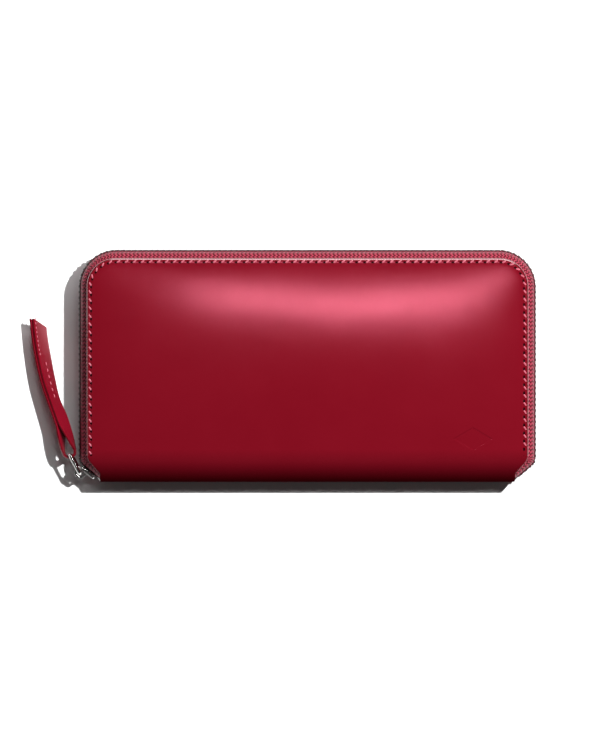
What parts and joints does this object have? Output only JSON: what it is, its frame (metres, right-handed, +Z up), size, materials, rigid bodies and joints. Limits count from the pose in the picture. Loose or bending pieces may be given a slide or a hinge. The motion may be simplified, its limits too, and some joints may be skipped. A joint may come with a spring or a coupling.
{
  "type": "long wallet",
  "caption": "Zip-around long leather wallet with a rounded spine, hinged covers, stepped card pockets, a central zipped coin pocket and a leather zip pull.",
  "frame": {"origin": "middle of the closed wallet's outline, on the flat face of the back cover that it rests on", "axes": "+X along the long side, to the right with the mouth away from the viewer; +Y from the spine to the zip mouth; +Z up out of the front cover"},
  "size_m": [0.2165, 0.099, 0.026],
  "materials": {
    "cover_leather": "smooth crimson leather, semi-gloss, softly crowned",
    "strap_leather": "the same crimson leather, folded and stitched, edges painted",
    "pocket_leather": "thin crimson leather, fine grain, satin",
    "lining": "plain woven lining, dark red, matt",
    "stiffener": "fibreboard stiffener sheet, matt, hidden",
    "zip_tape": "woven herringbone zip tape, crimson",
    "zip_metal": "nickel-plated zip metal, polished"
  },
  "bodies": {
    "back_cover": {"back_leather": "cover_leather", "back_board": "stiffener", "back_lining": "lining", "back_card_pocket_1": "pocket_leather", "back_card_pocket_2": "pocket_leather", "back_card_pocket_3": "pocket_leather", "back_card_pocket_4": "pocket_leather", "back_zip_tape": "zip_tape", "back_tooth_row": "zip_metal", "back_end_stop": "zip_metal", "spine_leather": "cover_leather", "spine_lining": "lining", "back_gusset_left": "lining", "back_gusset_right": "lining"},
    "coin_divider": {"coin_wall_back": "pocket_leather", "coin_wall_front": "pocket_leather", "coin_gusset": "lining", "coin_tape_back": "zip_tape", "coin_tape_front": "zip_tape", "coin_tooth_row_back": "zip_metal", "coin_tooth_row_front": "zip_metal", "zip_start_stop": "zip_metal", "front_gusset_left": "lining", "front_gusset_right": "lining"},
    "front_cover": {"front_leather": "cover_leather", "front_board": "stiffener", "front_lining": "lining", "front_card_pocket_1": "pocket_leather", "front_card_pocket_2": "pocket_leather", "front_card_pocket_3": "pocket_leather", "front_card_pocket_4": "pocket_leather", "front_zip_tape": "zip_tape", "front_tooth_row": "zip_metal", "front_end_stop": "zip_metal"},
    "zip_slider_body": {"zip_slider": "zip_metal"},
    "zip_bail": {"pull_bail": "zip_metal"},
    "zip_strap": {"pull_strap": "strap_leather"},
    "coin_slider_body": {"coin_slider": "zip_metal"},
    "coin_tab": {"coin_pull": "zip_metal"}
  },
  "joints": [
    {"name": "divider_hinge", "type": "hinge", "parent": "back_cover", "child": "coin_divider", "pos_m": [0, -0.0492, 0.013], "axis": [1, 0, 0], "range_deg": [0, 30], "deforming": ["back_zip_tape", "back_tooth_row", "spine_leather", "spine_lining", "back_gusset_left", "back_gusset_right"]},
    {"name": "cover_hinge", "type": "hinge", "parent": "coin_divider", "child": "front_cover", "pos_m": [0, -0.0492, 0.013], "axis": [1, 0, 0], "range_deg": [0, 30], "deforming": ["front_zip_tape", "front_tooth_row", "front_gusset_left", "front_gusset_right"]},
    {"name": "zip_slide", "type": "slide", "parent": "coin_divider", "child": "zip_slider_body", "axis": [-0.766, 0.6428, 0], "range_m": [0, 0.0043]},
    {"name": "bail_hinge", "type": "hinge", "parent": "zip_slider_body", "child": "zip_bail", "pos_m": [-0.0969, -0.04592, 0.013], "axis": [0, 0, 1], "range_deg": [0, 120]},
    {"name": "strap_hinge", "type": "hinge", "parent": "zip_bail", "child": "zip_strap", "pos_m": [-0.1012, -0.0378, 0.013], "axis": [0, 0, 1], "range_deg": [0, 60]},
    {"name": "coin_slide", "type": "slide", "parent": "coin_divider", "child": "coin_slider_body", "axis": [-1, 0, 0], "range_m": [0, 0.142], "deforming": ["coin_tooth_row_back", "coin_tooth_row_front"]},
    {"name": "coin_pull_hinge", "type": "hinge", "parent": "coin_slider_body", "child": "coin_tab", "pos_m": [0.072, 0.03295, 0.013], "axis": [0, 0, -1], "range_deg": [0, 180]}
  ],
  "couplings": [
    {"joint": "divider_hinge", "follows": "cover_hinge", "ratio": 1}
  ]
}
